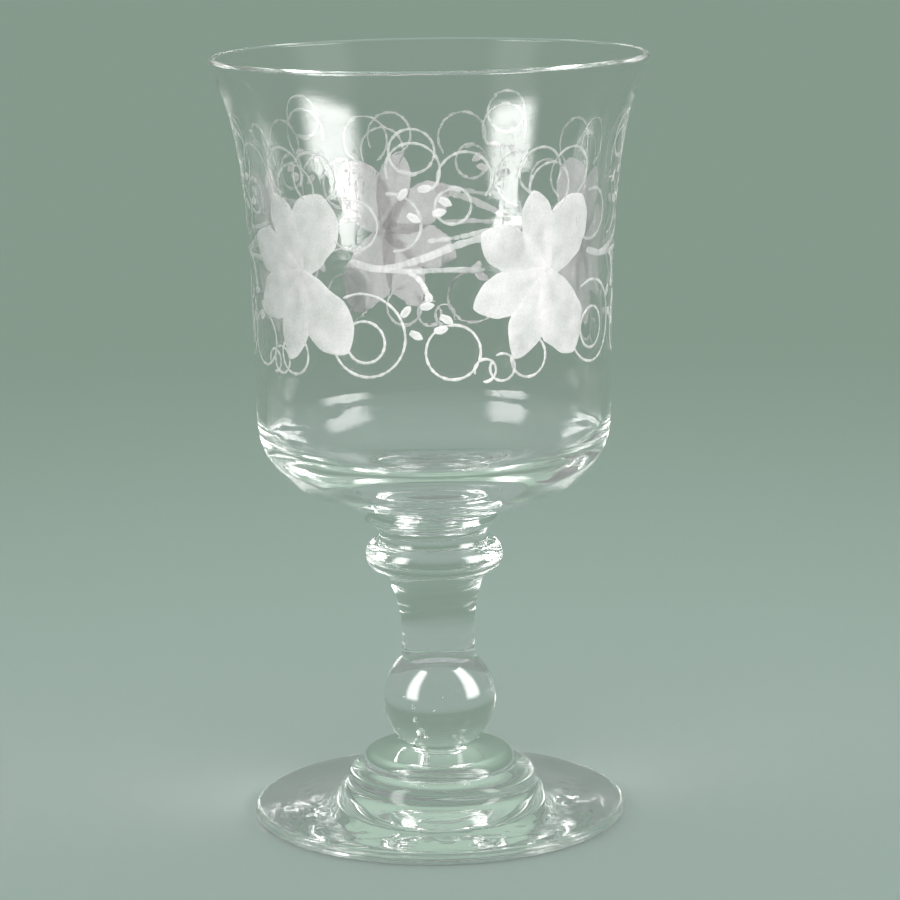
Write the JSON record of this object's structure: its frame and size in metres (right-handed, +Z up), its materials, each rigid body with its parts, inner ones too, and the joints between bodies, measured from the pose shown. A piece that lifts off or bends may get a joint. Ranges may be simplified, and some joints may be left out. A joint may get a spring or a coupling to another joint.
{
  "type": "wine glass",
  "caption": "Clear blown-glass goblet with an engraved flared bell bowl, stacked wafers, ring collar, tapering stem, ball knop and a stepped round foot.",
  "frame": {"origin": "middle of the resting face under the foot", "axes": "+Z up along the glass's axis of rotation; -Y is the front of the engraved design, +X is to its right"},
  "size_m": [0.0842, 0.0842, 0.15],
  "materials": {
    "clear_glass": "clear soda glass, fire-polished, with faint tooling lines and a few trapped bubbles",
    "frosted_glass": "wheel-engraved, ground matte white"
  },
  "bodies": {
    "root": {"bowl": "clear_glass", "upper_merese": "clear_glass", "lower_merese": "clear_glass", "neck": "clear_glass", "collar": "clear_glass", "stem": "clear_glass", "ball_knop": "clear_glass", "foot_upper_step": "clear_glass", "foot_lower_step": "clear_glass", "foot": "clear_glass"}
  },
  "joints": []
}
